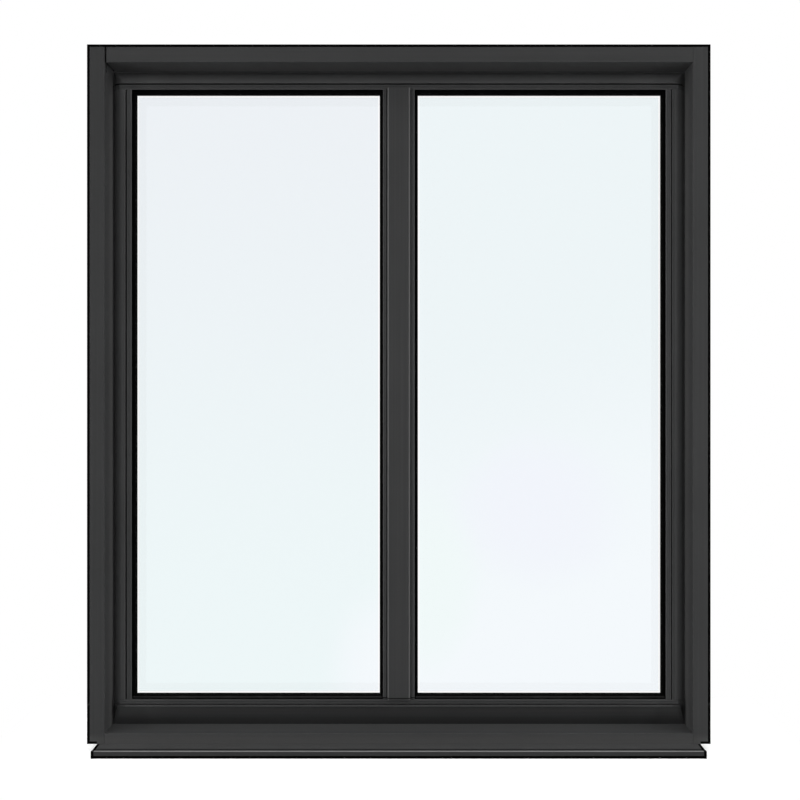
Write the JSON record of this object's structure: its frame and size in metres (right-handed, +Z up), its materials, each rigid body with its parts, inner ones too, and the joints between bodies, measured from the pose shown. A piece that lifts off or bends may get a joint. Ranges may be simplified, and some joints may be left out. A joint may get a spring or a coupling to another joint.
{
  "type": "bulletproof window",
  "caption": "Fixed bullet-resistant window: dark metal frame with a deep reveal, a sash with a mullion, armoured glass panes in black gaskets, and a cill with a drip nose.",
  "frame": {"origin": "on the cill's flat underside, midway between the jambs, in the plane of the frame's outside face", "axes": "+X to the right seen from outside, +Y from outside into the room, +Z up"},
  "size_m": [1.23, 0.167, 1.3944],
  "materials": {
    "anthracite_coating": "matt powder coat on aluminium",
    "black_rubber": "matt",
    "black_polyamide": "matt",
    "armoured_glass": "clear laminate with a faint cool tint"
  },
  "bodies": {
    "root": {"bottom_rail_inner_shell": "anthracite_coating", "bottom_rail_outer_shell": "anthracite_coating", "bottom_rail_thermal_break": "black_polyamide", "cill": "anthracite_coating", "cill_drip_strip": "black_rubber", "cill_left_end_cap": "black_polyamide", "cill_right_end_cap": "black_polyamide", "head_edge_seal": "black_rubber", "head_inner_shell": "anthracite_coating", "head_outer_shell": "anthracite_coating", "head_thermal_break": "black_polyamide", "left_armoured_glass": "armoured_glass", "left_edge_seal": "black_rubber", "left_inner_gasket": "black_rubber", "left_jamb_inner_shell": "anthracite_coating", "left_jamb_outer_shell": "anthracite_coating", "left_jamb_thermal_break": "black_polyamide", "left_outer_gasket": "black_rubber", "left_pane_bottom_bead": "anthracite_coating", "left_pane_left_bead": "anthracite_coating", "left_pane_right_bead": "anthracite_coating", "left_pane_top_bead": "anthracite_coating", "left_setting_blocks": "black_polyamide", "right_armoured_glass": "armoured_glass", "right_edge_seal": "black_rubber", "right_inner_gasket": "black_rubber", "right_jamb_inner_shell": "anthracite_coating", "right_jamb_outer_shell": "anthracite_coating", "right_jamb_thermal_break": "black_polyamide", "right_outer_gasket": "black_rubber", "right_pane_bottom_bead": "anthracite_coating", "right_pane_left_bead": "anthracite_coating", "right_pane_right_bead": "anthracite_coating", "right_pane_top_bead": "anthracite_coating", "right_setting_blocks": "black_polyamide", "room_seal": "black_rubber", "sash_bottom_rail": "anthracite_coating", "sash_left_stile": "anthracite_coating", "sash_mullion": "anthracite_coating", "sash_right_stile": "anthracite_coating", "sash_top_rail": "anthracite_coating", "weather_seal": "black_rubber"}
  },
  "joints": []
}
